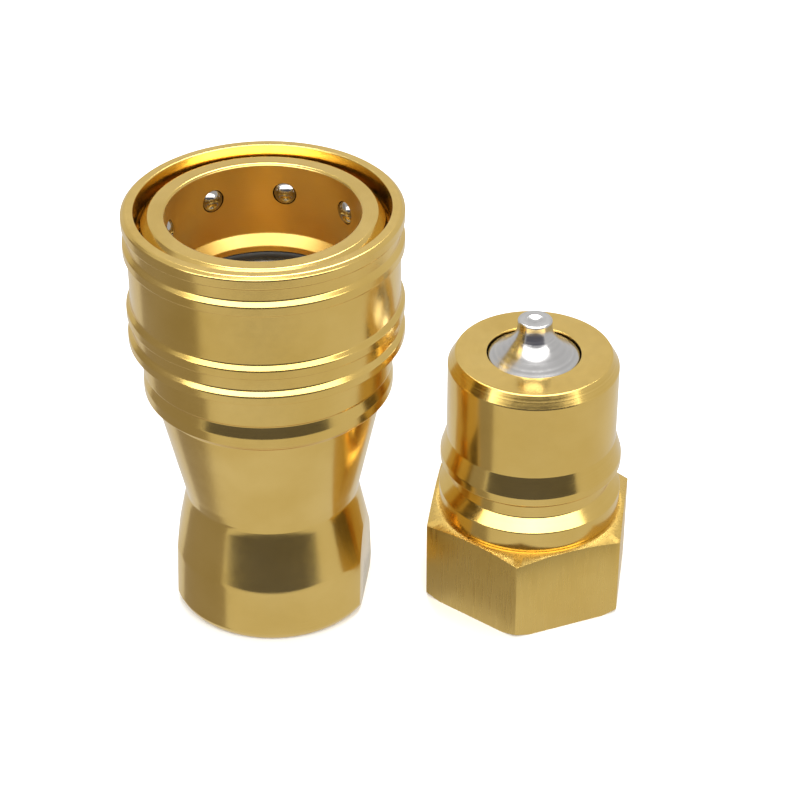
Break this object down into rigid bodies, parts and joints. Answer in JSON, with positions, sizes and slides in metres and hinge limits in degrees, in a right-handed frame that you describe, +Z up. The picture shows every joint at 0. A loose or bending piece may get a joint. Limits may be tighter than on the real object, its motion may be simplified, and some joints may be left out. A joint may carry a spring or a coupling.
{
  "type": "quick disconnect coupler",
  "caption": "Two-part poppet quick disconnect coupler: a socket with a ball-locking sleeve and a valved plug, each with a threaded port for a fluid line.",
  "frame": {"origin": "middle of the pair's bounding box, on the surface that both halves stand on", "axes": "+Z up along both parallel axes, out of the socket's mouth and the plug's nose; +X from the socket towards the plug"},
  "size_m": [0.069, 0.037, 0.0612],
  "materials": {
    "brass_body": "turned",
    "brass_sleeve": "turned",
    "brass_guide": "turned",
    "ball_steel": "polished",
    "poppet_steel": "turned",
    "spring_steel": "drawn wire",
    "seal_rubber": "matte",
    "backup_plastic": "matte",
    "snap_steel": "phosphated"
  },
  "bodies": {
    "socket": {"socket_body": "brass_body", "socket_adapter": "brass_body", "joint_gasket": "seal_rubber", "sleeve_spring": "spring_steel", "nose_oring": "seal_rubber", "backup_ring": "backup_plastic", "socket_spring": "spring_steel", "socket_guide": "brass_guide"},
    "sleeve": {"sleeve": "brass_sleeve"},
    "socket_valve": {"socket_poppet": "poppet_steel", "socket_poppet_seal": "seal_rubber"},
    "plug": {"plug_body": "brass_body", "plug_spring": "spring_steel", "plug_guide": "brass_guide", "plug_snap_ring": "snap_steel"},
    "plug_valve": {"plug_poppet": "poppet_steel", "plug_poppet_seal": "seal_rubber"},
    "ball_0": {"ball_0": "ball_steel"},
    "ball_1": {"ball_1": "ball_steel"},
    "ball_2": {"ball_2": "ball_steel"},
    "ball_3": {"ball_3": "ball_steel"},
    "ball_4": {"ball_4": "ball_steel"},
    "ball_5": {"ball_5": "ball_steel"},
    "ball_6": {"ball_6": "ball_steel"},
    "ball_7": {"ball_7": "ball_steel"}
  },
  "joints": [
    {"name": "sleeve_slide", "type": "slide", "parent": "socket", "child": "sleeve", "axis": [0, 0, -1], "range_m": [0, 0.005], "stiffness_N_per_m": 1500, "springref_m": -0.006, "deforming": ["sleeve_spring"]},
    {"name": "socket_valve_slide", "type": "slide", "parent": "socket", "child": "socket_valve", "axis": [0, 0, -1], "range_m": [0, 0.003], "stiffness_N_per_m": 1200, "springref_m": -0.004, "deforming": ["socket_spring"]},
    {"name": "plug_lift", "type": "slide", "parent": "socket", "child": "plug", "axis": [0, 0, 1], "range_m": [0, 0.06]},
    {"name": "plug_valve_slide", "type": "slide", "parent": "plug", "child": "plug_valve", "axis": [0, 0, -1], "range_m": [0, 0.003], "stiffness_N_per_m": 1200, "springref_m": -0.004, "deforming": ["plug_spring"]},
    {"name": "ball_0_slide", "type": "slide", "parent": "socket", "child": "ball_0", "axis": [0.5736, -0.8192, 0], "range_m": [0, 0.00056]},
    {"name": "ball_1_slide", "type": "slide", "parent": "socket", "child": "ball_1", "axis": [0.9848, -0.1736, 0], "range_m": [0, 0.00056]},
    {"name": "ball_2_slide", "type": "slide", "parent": "socket", "child": "ball_2", "axis": [0.8192, 0.5736, 0], "range_m": [0, 0.00056]},
    {"name": "ball_3_slide", "type": "slide", "parent": "socket", "child": "ball_3", "axis": [0.1736, 0.9848, 0], "range_m": [0, 0.00056]},
    {"name": "ball_4_slide", "type": "slide", "parent": "socket", "child": "ball_4", "axis": [-0.5736, 0.8192, 0], "range_m": [0, 0.00056]},
    {"name": "ball_5_slide", "type": "slide", "parent": "socket", "child": "ball_5", "axis": [-0.9848, 0.1736, 0], "range_m": [0, 0.00056]},
    {"name": "ball_6_slide", "type": "slide", "parent": "socket", "child": "ball_6", "axis": [-0.8192, -0.5736, 0], "range_m": [0, 0.00056]},
    {"name": "ball_7_slide", "type": "slide", "parent": "socket", "child": "ball_7", "axis": [-0.1736, -0.9848, 0], "range_m": [0, 0.00056]}
  ],
  "couplings": [
    {"joint": "ball_0_slide", "follows": "sleeve_slide", "ratio": 0.112},
    {"joint": "ball_1_slide", "follows": "sleeve_slide", "ratio": 0.112},
    {"joint": "ball_2_slide", "follows": "sleeve_slide", "ratio": 0.112},
    {"joint": "ball_3_slide", "follows": "sleeve_slide", "ratio": 0.112},
    {"joint": "ball_4_slide", "follows": "sleeve_slide", "ratio": 0.112},
    {"joint": "ball_5_slide", "follows": "sleeve_slide", "ratio": 0.112},
    {"joint": "ball_6_slide", "follows": "sleeve_slide", "ratio": 0.112},
    {"joint": "ball_7_slide", "follows": "sleeve_slide", "ratio": 0.112}
  ]
}
